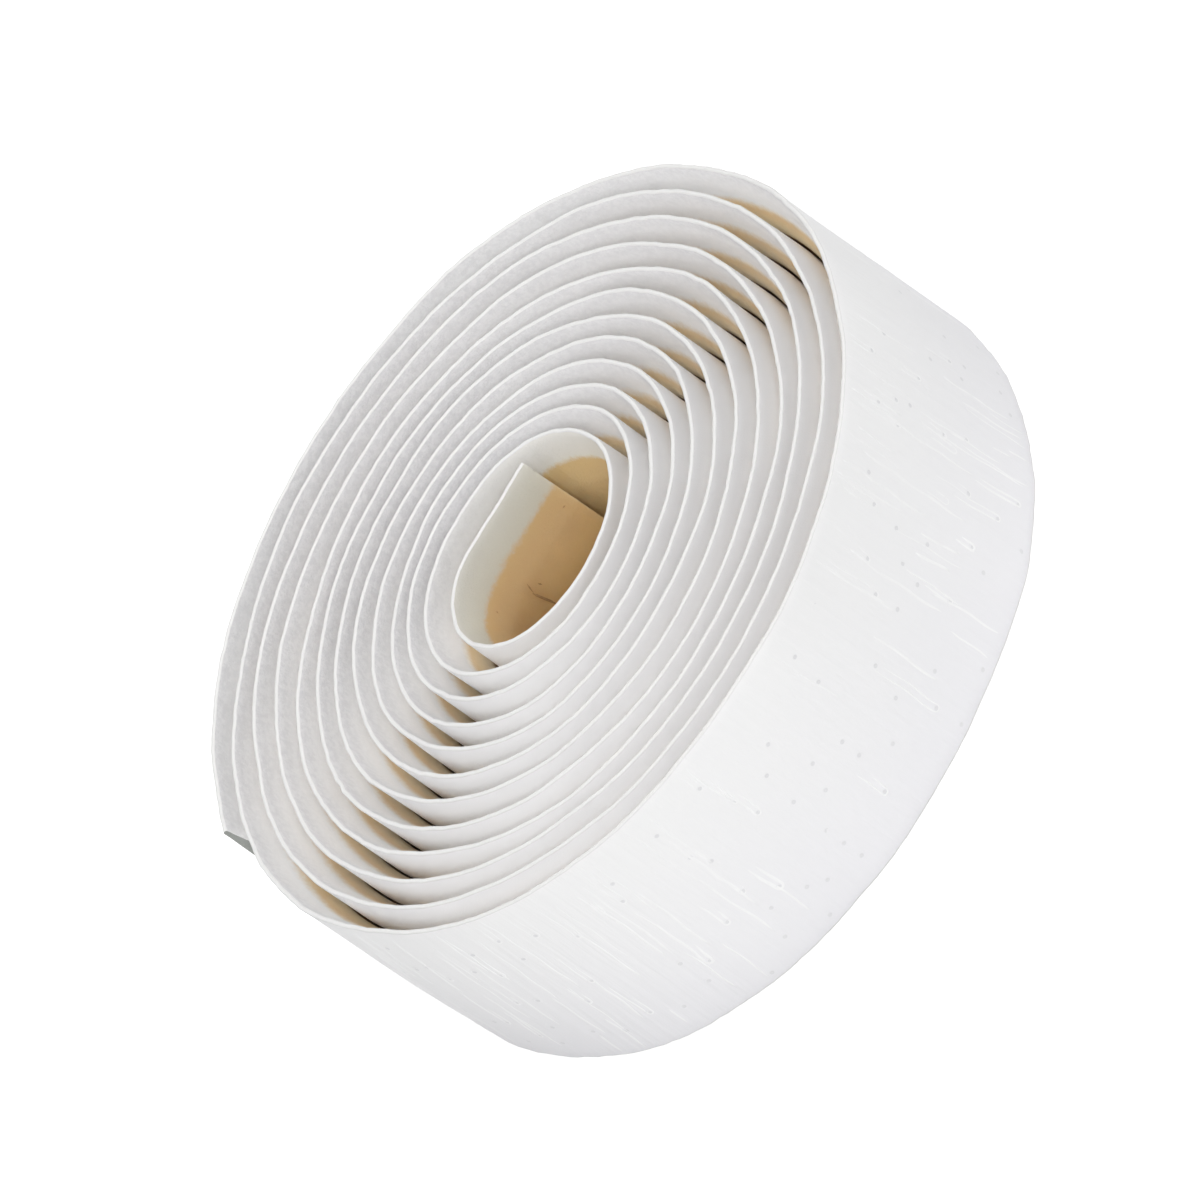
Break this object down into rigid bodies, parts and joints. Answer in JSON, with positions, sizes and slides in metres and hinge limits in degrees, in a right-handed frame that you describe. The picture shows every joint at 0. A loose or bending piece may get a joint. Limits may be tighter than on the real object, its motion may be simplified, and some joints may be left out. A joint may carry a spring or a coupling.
{
  "type": "handlebar tape roll",
  "caption": "Roll of cushioned handlebar tape, wound into a loose flat spiral around an open core, with pared edges.",
  "frame": {"origin": "middle of the roll's bounding box, on the surface that the edges of its turns stand on", "axes": "+Z along the roll's axis and up, +X nearly along the long axis of its slight oval; seen from +Z the tape winds outwards counterclockwise"},
  "size_m": [0.0894, 0.0822, 0.03],
  "materials": {
    "foam_tape": "soft white foam tape with a matte, finely streaked outer face and a tan middle on its back"
  },
  "bodies": {
    "root": {"tape_roll": "foam_tape"}
  },
  "joints": []
}
